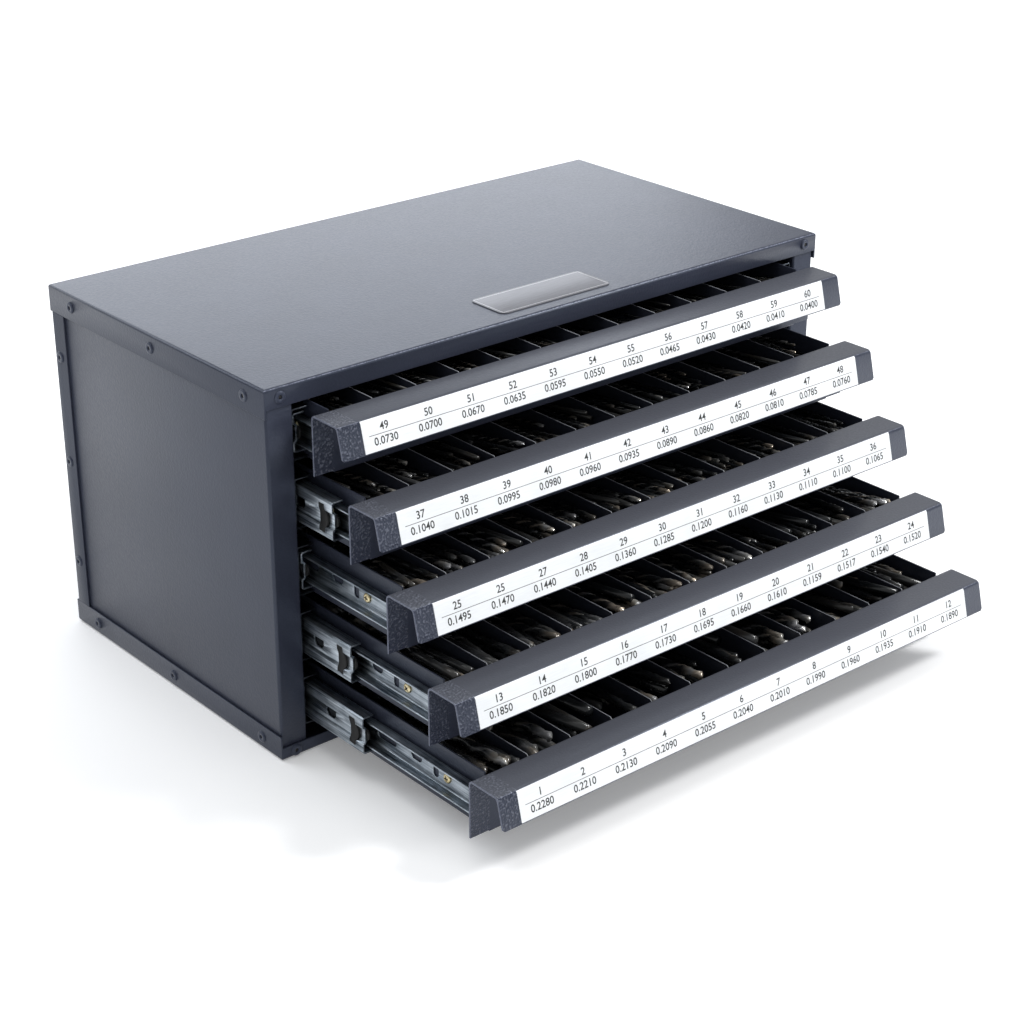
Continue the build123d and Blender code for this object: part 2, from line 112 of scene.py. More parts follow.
class Finish:
    """A node material on one Principled shader."""

    def __init__(self, name):
        self.material = bpy.data.materials.new(name)
        self.material.use_nodes = True
        self.tree = self.material.node_tree
        self.shader = self.tree.nodes["Principled BSDF"]

    def join(self, value, socket):
        if isinstance(value, Val):
            self.tree.links.new(value.socket, socket)
        else:
            socket.default_value = value

    def node(self, kind, settings=None, inputs=None, output=0):
        """Adds a node: its settings first, then values or links for its sockets."""
        made = self.tree.nodes.new(kind)
        for name, value in (settings or {}).items():
            if name == "stops":
                ramp = made.color_ramp
                while len(ramp.elements) < len(value):
                    ramp.elements.new(0.5)
                for element, (place, colour) in zip(ramp.elements, value):
                    element.position = place
                    element.color = colour
            else:
                setattr(made, name, value)
        for name, value in (inputs or {}).items():
            self.join(value, made.inputs[name])
        return Val(self, made.outputs[output])

    def set(self, **values):
        """Values or links for the shader's own sockets, named with _ for a blank."""
        for name, value in values.items():
            self.join(value, self.shader.inputs[name.replace("_", " ")])

    def place(self):
        """The object's own coordinates, which are the frame's, in metres."""
        return self.node("ShaderNodeTexCoord", output="Object")

    def axes(self, vector):
        """The X, Y and Z of a vector."""
        split = self.node("ShaderNodeSeparateXYZ", inputs={"Vector": vector})
        return [Val(self, output) for output in split.socket.node.outputs]

    def noise(self, vector, size, detail=2.0):
        """Noise whose spots are about size metres across."""
        inputs = {"Vector": vector, "Scale": 1 / size, "Detail": detail}
        return self.node("ShaderNodeTexNoise", inputs=inputs)

    def stretched(self, vector, x, y, z):
        """Coordinates scaled along each axis; less than 1 draws a pattern out along it."""
        inputs = {0: vector, 1: (x, y, z)}
        return self.node("ShaderNodeVectorMath", {"operation": "MULTIPLY"}, inputs)

    def ramp(self, value, *stops):
        """A colour that runs through (place, colour) stops as the value rises."""
        return self.node("ShaderNodeValToRGB", {"stops": stops}, {"Fac": value})

    def mix(self, factor, first, second):
        inputs = {"Factor": factor, 6: first, 7: second}
        return self.node("ShaderNodeMix", {"data_type": "RGBA"}, inputs, output=2)

    def bump(self, height, distance):
        inputs = {"Height": height, "Distance": distance, "Strength": 1.0}
        return self.node("ShaderNodeBump", inputs=inputs)


black = (0.0, 0.0, 0.0, 1.0)
white = (1.0, 1.0, 1.0, 1.0)


def shade(level, blue=1.0):
    """A grey with a little blue in it, as a colour."""
    return (level, level * (1 + 0.14 * blue), level * (1 + 0.75 * blue), 1.0)


paint_ior = 1.42
paint_sheen = (0.76, 0.85, 1.0, 1.0)
semi_gloss = 0.34
orange_peel = 0.12 * mm         # depth of the paint's texture
grain_size = 1.3 * mm
slate = 0.030                   # how light the case's paint is, and the trays'
tray_slate = 0.024
fold_highlight_reach = 0.7 * mm            # how far either side of a fold a pale line is painted on as a painted highlight
top_sheen_depth = 0.5 * mm             # how far below a handle's top its paint is painted paler, as a painted sheen
cut_edge_highlight_width = 0.2 * mm
pebbled_width = 11.8 * mm       # coarse paint at the left end of a drawer front
pebble_size = 1.1 * mm
pebble_depth = 4                # times the orange peel
lip_lean = 4.25 * mm            # the handle's lip leans forward this much over its drop


def powder_coat(name, level=slate, rough=semi_gloss, highlit_fold=None, sides=None):
    """Slate powder coat: clouding, orange peel and a semi-gloss skin.  A pale, speckled line of
    painted highlight runs along a fold at (y, z).  On a drawer front, given by the X of its sides,
    the top is painted paler as a painted sheen, the left end is pebbled with painted glints on its
    high points, and a painted highlight runs along the sheet's cut edge."""
    paint = Finish(name)
    place = paint.place()
    x, y, z = paint.axes(place)
    cloud = paint.noise(place, 40 * mm, 3.0)
    grain = paint.noise(place, grain_size)
    fine = paint.noise(place, 0.6 * mm, 1.0)
    tone = cloud * 0.7 + grain * 0.3
    colour = paint.ramp(tone, (0.3, shade(level * 0.88)), (0.7, shade(level * 1.12)))
    height = grain * 0.8 + fine * 0.2
    if highlit_fold:
        # painted highlight: a pale speckled line along the fold, standing in for the fold's
        # reflection
        near = (y.distance(highlit_fold[0]) < fold_highlight_reach) * (z.distance(highlit_fold[1]) < fold_highlight_reach)
        broken_highlight = paint.ramp(grain, (0.42, black), (0.56, white))
        colour = paint.mix(near * (0.25 + broken_highlight * 0.5), colour, shade(0.22, 0.5))
    if sides:
        # painted sheen: the handle's top is painted paler, as if lit from above
        colour = paint.mix(z > highlit_fold[1] - top_sheen_depth, colour, shade(level * 2.4, 0.35))
        end = x < sides[0] + pebbled_width
        pebble = paint.noise(place, pebble_size, 0.0)
        # painted glints: pale flecks on the high points of the pebbled end
        pebble_glints = paint.ramp(pebble, (0.55, black), (0.72, white))
        colour = paint.mix(end * pebble_glints * 0.35, colour, shade(level * 7, 0.4))
        # painted highlight: a thin pale line along the sheet's cut edge at each end of the front
        cut = x.distance(0.0) > sides[1] - cut_edge_highlight_width
        colour = paint.mix(cut * 0.6, colour, shade(0.16, 0.6))
        height = height + end * pebble * pebble_depth
    paint.set(
        Base_Color=colour,
        Roughness=rough + (grain - 0.5) * 0.16,
        IOR=paint_ior,
        Specular_Tint=paint_sheen,
        Normal=paint.bump(height, orange_peel),
    )
    return paint


def plated_steel(name, dark, light, rough=0.3):
    """Zinc-plated strip: drawing lines and streaks along the slide and a cloudy bloom."""
    zinc = Finish(name)
    place = zinc.place()
    lines = zinc.noise(zinc.stretched(place, 1.0, 0.02, 1.0), 0.5 * mm)
    streaks = zinc.noise(zinc.stretched(place, 1.0, 0.05, 1.0), 1.8 * mm)
    bloom = zinc.noise(place, 12 * mm, 3.0)
    tone = lines * 0.35 + streaks * 0.4 + bloom * 0.25
    zinc.set(
        Base_Color=zinc.ramp(tone, (0.38, dark), (0.62, light)),
        Metallic=1.0,
        Roughness=rough + streaks * 0.14,
        Normal=zinc.bump(lines, 0.02 * mm),
    )
    return zinc


def divider_coat():
    """Darker powder coat, paler grey on the dividers' upward-facing top edges."""
    paint = Finish("divider_powder_coat")
    grain = paint.noise(paint.place(), grain_size)
    normal = paint.node("ShaderNodeNewGeometry", output="Normal")
    upward = paint.axes(normal)[2] > 0.5
    coat = paint.ramp(grain, (0.3, shade(0.018)), (0.7, shade(0.026)))
    paint.set(
        Base_Color=paint.mix(upward * (0.5 + grain * 0.5), coat, (0.30, 0.31, 0.34, 1.0)),
        Roughness=0.36 + grain * 0.1,
        Normal=paint.bump(grain, 0.05 * mm),
    )
    return paint


def rivet_coat():
    paint = Finish("painted_rivet")
    grain = paint.noise(paint.place(), 0.8 * mm)
    paint.set(
        Base_Color=paint.ramp(grain, (0.2, shade(0.030)), (0.8, shade(0.042))),
        Roughness=0.3 + grain * 0.1,
        IOR=paint_ior,
        Specular_Tint=paint_sheen,
        Normal=paint.bump(grain, 0.03 * mm),
    )
    return paint


def dark_hollow():
    """The shadowed inside of a rivet's dimple or a screw's recess."""
    hollow = Finish("hollow_shade")
    grain = hollow.noise(hollow.place(), 0.5 * mm)
    hollow.set(
        Base_Color=hollow.ramp(grain, (0.3, shade(0.004, 0)), (0.7, shade(0.012, 0))),
        Roughness=0.5 + grain * 0.2,
    )
    return hollow


def black_moulding():
    plastic = Finish("black_moulding")
    grain = plastic.noise(plastic.place(), 0.6 * mm)
    plastic.set(
        Base_Color=plastic.ramp(grain, (0.3, shade(0.005, 0)), (0.7, shade(0.009, 0))),
        Roughness=0.5 + grain * 0.1,
        IOR=1.35,
        Normal=plastic.bump(grain, 0.02 * mm),
    )
    return plastic


def yellow_zinc():
    zinc = Finish("yellow_zinc")
    grain = zinc.noise(zinc.place(), 1.5 * mm)
    pale = (0.74, 0.66, 0.44, 1.0)
    zinc.set(
        Base_Color=zinc.ramp(grain, (0.3, (0.50, 0.40, 0.20, 1.0)), (0.7, pale)),
        Metallic=1.0,
        Roughness=0.25 + grain * 0.15,
    )
    return zinc


def drawer_coat(number):
    low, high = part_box(f"drawer_{number}_front")
    # the handle's front fold, where the painted highlight line runs
    fold = (low.y + lip_lean, high.z)
    return powder_coat(f"drawer_{number}_powder_coat", highlit_fold=fold, sides=(low.x, high.x))


lid_low, lid_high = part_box("top_cover")
# the lid's front fold gets the painted highlight line
case_paint = powder_coat("case_powder_coat", highlit_fold=(lid_low.y, lid_high.z))
tray_paint = powder_coat("tray_powder_coat", tray_slate, rough=0.38)
zinc_steel = plated_steel("zinc_plate", (0.07, 0.09, 0.11, 1.0), (0.50, 0.55, 0.60, 1.0))
# A darker copy of the zinc plate: painted shade for the outer members and case screws, which sit in
# the case's shadow.
shaded_zinc = plated_steel(
    "shaded_zinc_plate", (0.03, 0.038, 0.045, 1.0), (0.12, 0.13, 0.15, 1.0)
)
# A near-black copy of the zinc plate: painted shade for the ball cages, seen in shadow through the
# slides' windows.
cage_steel = plated_steel(
    "cage_steel", (0.012, 0.014, 0.016, 1.0), (0.05, 0.055, 0.06, 1.0), rough=0.4
)
divider_paint = divider_coat()
rivet_paint = rivet_coat()
hollow_black = dark_hollow()
black_plastic = black_moulding()
screw_zinc = yellow_zinc()


# ---------------------------------------------------------------- helpers for pieces
def piece(name, mesh, finish, body):
    """A mesh made in the frame's coordinates becomes a piece that rides on a body."""
    made = bpy.data.objects.new(name, mesh)
    bpy.context.scene.collection.objects.link(made)
    made.data.materials.append(finish.material)
    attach(made, body)
    return made


def turned(steps):
    """Evenly spaced angles once round."""
    return [2 * math.pi * step / steps for step in range(steps)]


def add_lathe(mesh, profile, place, angles):
    """Turns (radius, height) points round the local Z of a place, into a bmesh, and gives
    back its rings of corners."""
    rings = []
    for radius, height in profile:
        if radius == 0:
            rings.append([mesh.verts.new(place @ Vector((0, 0, height)))])
            continue
        rings.append([
            mesh.verts.new(place @ Vector((radius * math.cos(a), radius * math.sin(a), height)))
            for a in angles
        ])
    for lower, upper in zip(rings, rings[1:]):
        for step in range(len(angles)):
            after = (step + 1) % len(angles)
            corners = [
                lower[step % len(lower)],
                lower[after % len(lower)],
                upper[after % len(upper)],
                upper[step % len(upper)],
            ]
            mesh.faces.new(list(dict.fromkeys(corners))).smooth = True
    return rings


def finished_mesh(name, mesh):
    made = bpy.data.meshes.new(name)
    bmesh.ops.recalc_face_normals(mesh, faces=mesh.faces)
    mesh.to_mesh(made)
    mesh.free()
    return made


def facing(place, outward):
    """The place of something whose local Z points outward."""
    return Matrix.Translation(place) @ Vector(outward).to_track_quat("Z", "Y").to_matrix().to_4x4()


# ---------------------------------------------------------------- carried-over nodes
finishes = {
    "top_cover": case_paint,
    "base_pan": case_paint,
    "left_side_panel": case_paint,
    "right_side_panel": case_paint,
    "back_panel": case_paint,
    "rear_slide_brackets": case_paint,
    "slide_outer_members": shaded_zinc,
    "slide_case_screws": shaded_zinc,
}
for number in drawer_numbers:
    finishes[f"drawer_{number}_front"] = drawer_coat(number)
    finishes[f"drawer_{number}_tray"] = tray_paint
    finishes[f"drawer_{number}_dividers"] = divider_paint
    finishes[f"drawer_{number}_slide_members"] = zinc_steel
    finishes[f"slide_{number}_middle_members"] = zinc_steel
    finishes[f"slide_{number}_bumpers"] = black_plastic
    finishes[f"slide_{number}_outer_cages"] = cage_steel
    finishes[f"slide_{number}_inner_cages"] = cage_steel

edge_rounding = 0.22 * mm
thin_rounding = 0.1 * mm        # of dividers, cages and screws
nameplate_rounding = 0.15 * mm
weld_distance = 0.005 * mm
sharp_angle = math.radians(35)  # edges folded more than this are rounded


def dress(node, finish, rounding):
    """Gives a carried-over node its finish, shades it smooth and rounds its sheet edges."""
    node.data.materials.clear()
    node.data.materials.append(finish.material)
    node.data.shade_smooth()
    weld = node.modifiers.new("weld", "WELD")
    weld.merge_threshold = weld_distance
    bevel = node.modifiers.new("rounding", "BEVEL")
    bevel.width = rounding
    bevel.segments = 2
    bevel.limit_method = "ANGLE"
    bevel.angle_limit = sharp_angle
    bevel.harden_normals = True


for name, finish in finishes.items():
    thin = any(word in name for word in ("dividers", "cages", "screws"))
    dress(nodes[name], finish, thin_rounding if thin else edge_rounding)


# ---------------------------------------------------------------- rivets
case_low, case_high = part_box("base_pan")
half_width = case_high.x
front_y = case_low.y
back_y = case_high.y
lid_top = lid_high.z
lid_row_z = lid_top - 7.5 * mm          # the rows round the lid's flanges
base_row_z = 6.75 * mm                  # and round the base's
first_setback = 17.5 * mm               # a side row's first rivet, from the front
last_inset = 22.5 * mm                  # its last one, from the back, and a back row's ends
panel_rivet_inset = 6.8 * mm            # the side panels' rear rivets, from the back
panel_rivet_pitch = 61.2 * mm
post_rivet_inset = 9 * mm               # the front rivets, from the case's sides
post_rivet_drop = 5.25 * mm             # from the lid's top
post_rivet_rise = 3.5 * mm              # from the ground
side_row_y = [front_y + first_setback, (front_y + back_y) / 2, back_y - last_inset]
back_row_x = [last_inset - half_width, 0.0, half_width - last_inset]

# A blind rivet's head and the dark bottom of its dimple, as (radius, height).
rivet_profile = [
    (1.0 * mm, 0.1 * mm),
    (1.05 * mm, 0.6 * mm),
    (1.25 * mm, 0.8 * mm),
    (2.3 * mm, 0.8 * mm),
    (2.85 * mm, 0.68 * mm),
    (3.12 * mm, 0.36 * mm),
    (3.18 * mm, 0.0),
]
dimple_profile = [(0, 0.35 * mm), (0.6 * mm, 0.3 * mm), (1.03 * mm, 0.12 * mm)]
rivet_sides = 32
dimple_sides = 16


def rivet_places():
    """Where each rivet sits, its local Z outward."""
    places = []
    for side in (-1, 1):
        outward = (side, 0, 0)
        for y in side_row_y:
            places.append(facing((side * half_width, y, lid_row_z), outward))
            places.append(facing((side * half_width, y, base_row_z), outward))
        for row in (-1, 0, 1):
            z = lid_top / 2 + row * panel_rivet_pitch
            places.append(facing((side * half_width, back_y - panel_rivet_inset, z), outward))
        for z in (lid_top - post_rivet_drop, post_rivet_rise):
            x = side * (half_width - post_rivet_inset)
            places.append(facing((x, front_y, z), (0, -1, 0)))
    for x in back_row_x:
        places.append(facing((x, back_y, lid_row_z), (0, 1, 0)))
        places.append(facing((x, back_y, base_row_z), (0, 1, 0)))
    return places


rivets = bmesh.new()
dimples = bmesh.new()
for place in rivet_places():
    add_lathe(rivets, rivet_profile, place, turned(rivet_sides))
    add_lathe(dimples, dimple_profile, place, turned(dimple_sides))
rivet_mesh = finished_mesh("rivet_heads", rivets)
rivet_heads = piece("rivet_heads", rivet_mesh, rivet_paint, "case")
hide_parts("case_rivets")
# painted shade: near-black discs in the rivets' dimples, for the dimples' shadow over the mandrels'
# stubs
piece("rivet_cores_and_shade", finished_mesh("rivet_cores_and_shade", dimples), hollow_black, "case")


# ---------------------------------------------------------------- runner screws
head_radius = 2.6 * mm
head_height = 1.26 * mm
head_profile = [
    (head_radius, 0.0),
    (2.58 * mm, 0.45 * mm),
    (2.35 * mm, 0.9 * mm),
    (1.95 * mm, 1.16 * mm),
    (1.62 * mm, head_height),
]
head_seat = 1.3 * mm            # the heads' seat, in from the solid heads' outer faces
cross_arm = 1.45 * mm           # reach of the recess's arms
cross_half_slot = 0.36 * mm
cross_floor = 0.4 * mm          # height of its bottom
cross_taper = 0.7               # its bottom's size beside its mouth
arc_steps = 3                   # corners of the head for each corner of the cross
first_spin = 0.3                # how far the first drawer's screws are turned, less a step
spin_step = 0.9                 # and each next drawer's more


def cross_outline():
    """The corners of a cross, once round."""
    corner = [
        (cross_arm, -cross_half_slot),
        (cross_arm, cross_half_slot),
        (cross_half_slot, cross_half_slot),
    ]
    outline = []
    for quarter in range(4):
        turn = Matrix.Rotation(quarter * math.pi / 2, 2)
        outline += [turn @ Vector(point) for point in corner]
    return outline


def add_phillips_head(mesh, recess, place):
    """A low pan head with a cross recess, whose inside, painted dark as shade, goes into a mesh of
    its own.
    """
    cross = cross_outline()
    angles = []
    for point, after in zip(cross, cross[1:] + cross[:1]):
        start = math.atan2(point.y, point.x)
        sweep = (math.atan2(after.y, after.x) - start) % (2 * math.pi)
        angles += [start + sweep * step / arc_steps for step in range(arc_steps)]
    rim = add_lathe(mesh, head_profile, place, angles)[-1]
    mouth = [place @ Vector((point.x, point.y, head_height)) for point in cross]
    lip = [mesh.verts.new(point) for point in mouth]
    for index, start in enumerate(lip):
        ring = [rim[(arc_steps * index + step) % len(rim)] for step in range(arc_steps + 1)]
        for near, far in zip(ring, ring[1:]):
            mesh.faces.new([start, near, far])
        mesh.faces.new([start, ring[-1], lip[(index + 1) % len(lip)]])
    edge = [recess.verts.new(point) for point in mouth]
    bottom = [Vector((*(point * cross_taper), cross_floor)) for point in cross]
    deep = [recess.verts.new(place @ point) for point in bottom]
    recess.faces.new(deep)
    for index in range(len(cross)):
        after = (index + 1) % len(cross)
        recess.faces.new([edge[index], edge[after], deep[after], deep[index]])


for number in drawer_numbers:
    low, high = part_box(f"drawer_{number}_slide_screws")
    spin = Matrix.Rotation(first_spin + spin_step * number, 4, "Z")
    screws = bmesh.new()
    recesses = bmesh.new()
    for side, x in ((-1, low.x), (1, high.x)):
        for y in (low.y + head_radius, high.y - head_radius):
            seat = Vector((x - side * head_seat, y, (low.z + high.z) / 2))
            add_phillips_head(screws, recesses, facing(seat, (side, 0, 0)) @ spin)
    name = f"drawer_{number}_screw_heads"
    heads = piece(name, finished_mesh(name, screws), screw_zinc, f"drawer_{number}")
    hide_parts(f"drawer_{number}_slide_screws")
    # painted shade: near-black faces inside the screws' cross recesses
    name = f"drawer_{number}_screw_recesses"
    piece(name, finished_mesh(name, recesses), hollow_black, f"drawer_{number}")


# ---------------------------------------------------------------- labels
lip_drop = 16.6 * mm
lip_length = math.hypot(lip_drop, lip_lean)
lip_up = Vector((0, lip_lean, lip_drop)) / lip_length
lip_out = Vector((0, -lip_drop, lip_lean)) / lip_length
handle_bend = 2.6 * mm
lip_turn = math.atan2(lip_drop, lip_lean)       # the fold between the handle's top and the lip
fold_length = handle_bend * math.tan(lip_turn / 2)

film_wrap = math.radians(33)                    # the film follows the fold this far
wrap_steps = 5
film_edge = 0.6 * mm                            # bare strip under it
film_thickness = 0.25 * mm
film_left_margins = {1: 13.2 * mm, 2: 12.3 * mm, 3: 11.3 * mm, 4: 11.3 * mm, 5: 11.3 * mm}
film_right_margin = 13.4 * mm
film_height = lip_length - film_edge - fold_length + handle_bend * math.sin(film_wrap)
film_middle = lip_length - film_edge - film_height / 2

first_number_x = {
    1: -146.0 * mm, 2: -146.6 * mm, 3: -147.4 * mm, 4: -147.6 * mm, 5: -147.6 * mm
}
number_pitch = 26.6 * mm
number_rise = 3.2 * mm          # above the film's middle
size_drop = 3.55 * mm           # and below it
digit_size = 5.5 * mm
digit_weight = 0.085 * mm       # the strokes are thickened by this on each side
digit_width = 0.95
ink_height = 0.01 * mm          # the lettering's height above the film
rule_inset = 3.6 * mm
rule_half = 0.15 * mm

# The drill numbers and their sizes in inches, from left to right on each drawer.
label_numbers = {
    1: [str(n) for n in range(49, 61)],
    2: [str(n) for n in range(37, 49)],
    3: ["25", "25"] + [str(n) for n in range(27, 37)],
    4: [str(n) for n in range(13, 25)],
    5: [str(n) for n in range(1, 13)],
}
label_sizes = {
    1: "0.0730 0.0700 0.0670 0.0635 0.0595 0.0550 0.0520 0.0465 0.0430 0.0420 0.0410 0.0400",
    2: "0.1040 0.1015 0.0995 0.0980 0.0960 0.0935 0.0890 0.0860 0.0820 0.0810 0.0785 0.0760",
    3: "0.1495 0.1470 0.1440 0.1405 0.1360 0.1285 0.1200 0.1160 0.1130 0.1110 0.1100 0.1065",
    4: "0.1850 0.1820 0.1800 0.1770 0.1730 0.1695 0.1660 0.1610 0.1159 0.1517 0.1540 0.1520",
    5: "0.2280 0.2210 0.2130 0.2090 0.2055 0.2040 0.2010 0.1990 0.1960 0.1935 0.1910 0.1890",
}


def label_ink():
    ink = Finish("label_ink")
    grain = ink.noise(ink.place(), 0.3 * mm)
    ink.set(
        Base_Color=ink.ramp(grain, (0.3, shade(0.01, 0)), (0.7, shade(0.02, 0))),
        Roughness=0.4,
    )
    return ink


def film_place(number):
    """A point of the lip's face, on its fold's virtual corner, and the film's two ends."""
    low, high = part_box(f"drawer_{number}_front")
    corner = Vector((0, low.y + lip_lean, high.z))
    return corner, low.x + film_left_margins[number], high.x - film_right_margin


def label_film(number):
    """Silver-white film with its ruled line, and brushed along its length."""
    corner, left, right = film_place(number)
    film = Finish(f"label_film_{number}")
    place = film.place()
    x, _, z = film.axes(place)
    brush = film.noise(film.stretched(place, 0.05, 1.0, 1.0), 0.4 * mm)
    cloud = film.noise(place, 25 * mm)
    ruled = x.distance((left + right) / 2) < (right - left) / 2 - rule_inset
    line = (z.distance(corner.z - lip_up.z * film_middle) < rule_half) * ruled
    paper = film.ramp(
        cloud * 0.6 + brush * 0.4,
        (0.3, (0.70, 0.72, 0.74, 1.0)),
        (0.7, (0.82, 0.84, 0.86, 1.0)),
    )
    film.set(
        Base_Color=film.mix(line, paper, (0.05, 0.05, 0.055, 1.0)),
        Roughness=0.36 + brush * 0.1,
        Normal=film.bump(brush, 0.01 * mm),
    )
    return film


def film_outline(corner):
    """The film's section across the drawer: flat on the lip, then a little way round the
    fold, out along its face and back along the lip."""
    foot = corner - lip_up * (lip_length - film_edge)
    centre = corner - lip_up * fold_length - lip_out * handle_bend
    faces = []
    for proud in (0.0, film_thickness):
        face = [foot + lip_out * proud]
        for step in range(wrap_steps + 1):
            angle = film_wrap * step / wrap_steps
            out = lip_out * math.cos(angle) + lip_up * math.sin(angle)
            face.append(centre + out * (handle_bend + proud))
        faces.append(face)
    return faces[1] + faces[0][::-1]


def film_mesh(number):
    corner, left, right = film_place(number)
    outline = film_outline(corner)
    mesh = bmesh.new()
    ends = []
    for x in (left, right):
        ends.append([mesh.verts.new(Vector((x, point.y, point.z))) for point in outline])
    for index in range(len(outline)):
        after = (index + 1) % len(outline)
        mesh.faces.new([ends[0][index], ends[0][after], ends[1][after], ends[1][index]])
    for end in ends:
        for index in range(len(outline) // 2 - 1):
            mesh.faces.new([end[index], end[index + 1], end[-2 - index], end[-1 - index]])
    return finished_mesh(f"drawer_{number}_label_film", mesh)


def add_text(mesh, words, place):
    """Flat lettering, centred on a place, into a bmesh."""
    curve = bpy.data.curves.new("lettering", "FONT")
    curve.body = words
    curve.size = digit_size
    curve.offset = digit_weight
    curve.align_x = "CENTER"
    curve.align_y = "CENTER"
    curve.resolution_u = 3
    holder = bpy.data.objects.new("lettering", curve)
    flat = bpy.data.meshes.new_from_object(holder)
    flat.transform(place)
    mesh.from_mesh(flat)
    bpy.data.objects.remove(holder)
    bpy.data.curves.remove(curve)
    bpy.data.meshes.remove(flat)


def label_lettering(number):
    """The row of drill numbers over the ruled line and the row of sizes under it."""
    corner = film_place(number)[0]
    face = corner - lip_up * film_middle + lip_out * (film_thickness + ink_height)
    on_lip = Matrix((Vector((1, 0, 0)), lip_up, lip_out)).transposed().to_4x4()
    on_lip = on_lip @ Matrix.Diagonal((digit_width, 1, 1, 1))
    lettering = bmesh.new()
    columns = zip(label_numbers[number], label_sizes[number].split())
    for index, (count, size) in enumerate(columns):
        middle = face + Vector((first_number_x[number] + index * number_pitch, 0, 0))
        for words, rise in ((count, number_rise), (size, -size_drop)):
            add_text(lettering, words, Matrix.Translation(middle + lip_up * rise) @ on_lip)
    return finished_mesh(f"drawer_{number}_numbers", lettering)


ink = label_ink()
for number in drawer_numbers:
    body = f"drawer_{number}"
    film = piece(f"{body}_label_film", film_mesh(number), label_film(number), body)
    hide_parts(f"{body}_label")
    piece(f"{body}_numbers", label_lettering(number), ink, body)


# ---------------------------------------------------------------- nameplate
border_inset = 1.6 * mm         # of the plate's printed border, a thin light line
border_half = 0.18 * mm
border_end = 1.5 * mm           # its lines stop this far from the plate's edges


def nameplate_foil():
    """Brushed foil with its border."""
    foil = Finish("nameplate_foil")
    low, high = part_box("nameplate")
    middle = (low + high) / 2
    half = (high - low) / 2
    place = foil.place()
    x, y, _ = foil.axes(place)
    edge_x = half.x - x.distance(middle.x)
    edge_y = half.y - y.distance(middle.y)
    border = (edge_x.distance(border_inset) < border_half) * (edge_y > border_end)
    border = border + (edge_y.distance(border_inset) < border_half) * (edge_x > border_end)
    brush = foil.noise(foil.stretched(place, 0.05, 1.0, 1.0), 0.4 * mm)
    silver = foil.ramp(brush, (0.3, (0.15, 0.152, 0.165, 1.0)), (0.7, (0.21, 0.213, 0.235, 1.0)))
    foil.set(
        Base_Color=foil.mix(border, silver, (0.62, 0.62, 0.65, 1.0)),
        Metallic=0.35,
        Roughness=0.42 + brush * 0.12,
    )
    return foil


dress(nodes["nameplate"], nameplate_foil(), nameplate_rounding)


# ---------------------------------------------------------------- drill bits
compartments = 12
divider_sheet = 0.6 * mm
tray_sheet = 0.8 * mm
compartment_depth = 187 * mm
inch = 25.4 * mm

least_length = 38 * mm          # of a jobber drill, to which its diameter adds
length_growth = 10.4            # this many times itself
fluted_share = 0.42             # of the length, to which each millimetre of diameter adds
fluted_growth = 0.04            # this much
flute_pitch = 5.4               # in diameters
steps_per_turn = 7
least_steps = 6
fine_drill = 2.7 * mm           # below this diameter a drill has fewer sides
point_share = 0.6               # a point's length in radii
core_share = 0.58               # how deep the flutes leave the core, in radii
flute_curve = 0.6
run_out = 0.4                   # from the flutes to the round shank, in diameters
tip_share = 0.02                # the size of its two ends, in radii
land_start = 0.9                # cosine beyond which the round is a land
worn_length = 2.6               # how far wear reaches from the point, in diameters
land_wear = 0.3
shank_wear = 0.05

seed = random.Random(7)
heap_height = 26 * mm           # top of a heap at its front
heap_back_height = 21 * mm      # and at its back
heap_gap = 6 * mm               # least room for the next heap behind it
end_room = 1.5 * mm
side_room = 0.7 * mm
front_spread = 0.8              # the least share of its height that a drill's front has
back_spread = 0.6               # and its back
fewest_across, most_across = 3, 6
fewest_layers, most_layers = 5, 7
drill_room = 1.3                # room across for one drill, in diameters
slot_margin = 0.2               # how near a drill comes to its neighbour's room
resting_height = 0.55           # of a drill's middle over the floor, in diameters
steepest = 0.5                  # sine of the steepest tilt
widest_yaw = 0.2
turned_share = 0.25             # of the drills lie the other way round
any_spin = 6.3                  # about a whole turn
wear_power = 2.2                # the higher, the fewer drills are much worn


def black_oxide():
    """Black drill steel, worn bright, in straw to silver, where the wear attribute says."""
    steel = Finish("black_oxide_drills")
    place = steel.place()
    worn = steel.node("ShaderNodeAttribute", {"attribute_name": "worn"}, output="Fac")
    streak = steel.noise(place, 2.5 * mm, 3.0)
    bright = steel.ramp(
        steel.noise(place, 14 * mm),
        (0.44, (0.80, 0.68, 0.55, 1.0)),
        (0.52, (0.88, 0.85, 0.78, 1.0)),
        (0.6, (0.9, 0.9, 0.92, 1.0)),
    )
    steel.set(
        Base_Color=steel.mix(worn, (0.010, 0.011, 0.012, 1.0), bright),
        Metallic=worn,
        Roughness=0.14 + streak * 0.14,
    )
    return steel


